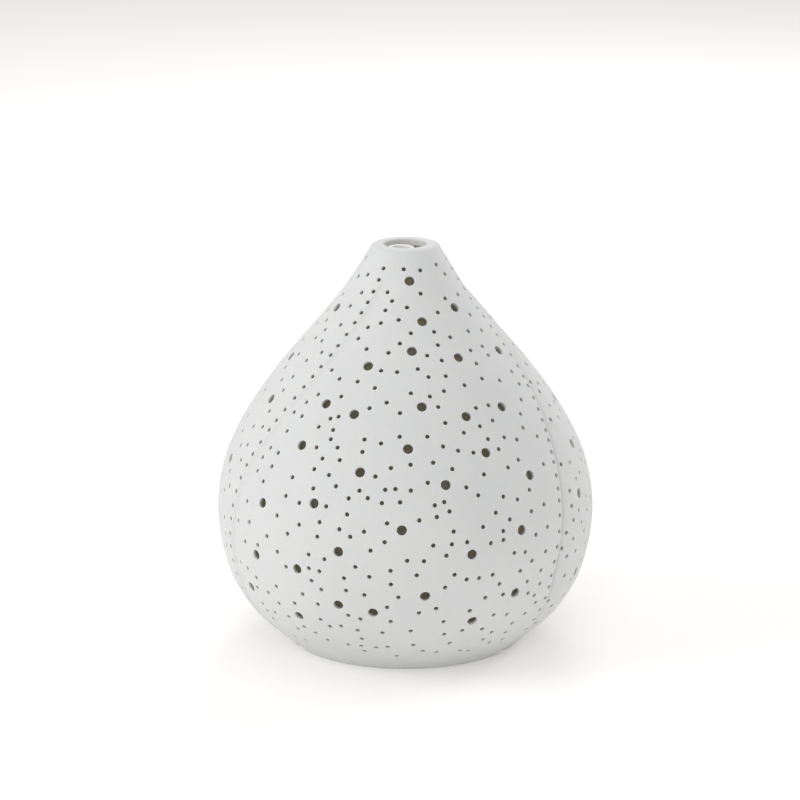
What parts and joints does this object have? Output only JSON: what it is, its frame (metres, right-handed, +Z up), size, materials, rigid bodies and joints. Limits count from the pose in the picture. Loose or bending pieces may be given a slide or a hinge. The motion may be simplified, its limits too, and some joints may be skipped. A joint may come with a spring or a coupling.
{
  "type": "aroma diffuser",
  "caption": "Pierced ceramic teardrop cover over a water tank, mist maker, fan and lit electronics, with a lift-off lid, chimney and rear buttons.",
  "frame": {"origin": "on the table, under the middle of the cover's mouth", "axes": "+Z up out of the mouth, -Y towards the front, +Y towards the inlet and the buttons"},
  "size_m": [0.14, 0.1399, 0.15],
  "materials": {
    "ceramic": "matt unglazed bisque porcelain",
    "milky_plastic": "translucent milky polypropylene, satin",
    "white_plastic": "fine moulded texture",
    "grey_plastic": "satin",
    "black_plastic": "satin",
    "rubber": "soft matt silicone",
    "circuit_board": "solder-masked board",
    "light_board": "white solder mask",
    "led_package": "clear resin over a yellow phosphor",
    "piezo_metal": "silver electrode on a ceramic disc",
    "steel": "zinc-plated",
    "contact_metal": "nickel-plated",
    "aluminium": "extruded, satin",
    "capacitor_can": "sleeved can with a bare top",
    "choke_winding": "enamelled copper on ferrite",
    "wire_insulation": "soft insulation"
  },
  "bodies": {
    "engine": {"tank": "milky_plastic", "transducer": "piezo_metal", "transducer_seal": "rubber", "transducer_clamp": "steel", "transducer_screws": "steel", "housing_seal": "rubber", "base_housing": "white_plastic", "tank_screws": "steel", "bottom_cover": "white_plastic", "base_screws": "steel", "rubber_feet": "rubber", "fan_frame": "black_plastic", "air_duct": "white_plastic", "fan_screws": "steel", "main_board": "circuit_board", "board_screws": "steel", "inductor": "choke_winding", "capacitors": "capacitor_can", "heatsink": "aluminium", "power_transistor": "black_plastic", "control_chip": "black_plastic", "wire_headers": "white_plastic", "transducer_wires": "wire_insulation", "fan_wires": "wire_insulation", "led_boards": "light_board", "leds": "led_package", "dc_jack": "black_plastic", "dc_jack_pin": "contact_metal", "button_board": "circuit_board", "tact_switches": "black_plastic"},
    "cover": {"ceramic_cover": "ceramic"},
    "lid": {"inner_cover": "milky_plastic", "mist_chimney": "white_plastic"},
    "rotor": {"fan_rotor": "black_plastic"},
    "mist_button": {"mist_button": "grey_plastic"},
    "light_button": {"light_button": "grey_plastic"}
  },
  "joints": [
    {"name": "cover_lift", "type": "slide", "parent": "engine", "child": "cover", "axis": [0, 0, 1], "range_m": [0, 0.25]},
    {"name": "inner_cover_lift", "type": "slide", "parent": "engine", "child": "lid", "axis": [0, 0, 1], "range_m": [0, 0.0875]},
    {"name": "mist_button_press", "type": "slide", "parent": "engine", "child": "mist_button", "axis": [0, -1, 0], "range_m": [0, 0.0008], "stiffness_N_per_m": 400, "springref_m": -0.0008},
    {"name": "light_button_press", "type": "slide", "parent": "engine", "child": "light_button", "axis": [0, -1, 0], "range_m": [0, 0.0008], "stiffness_N_per_m": 400, "springref_m": -0.0008},
    {"name": "fan_spin", "type": "hinge", "parent": "engine", "child": "rotor", "pos_m": [-0.0126, 0.004, 0.0305], "axis": [0, 0, 1], "continuous": true}
  ],
  "couplings": [
    {"joint": "inner_cover_lift", "follows": "cover_lift", "ratio": 0.35}
  ]
}
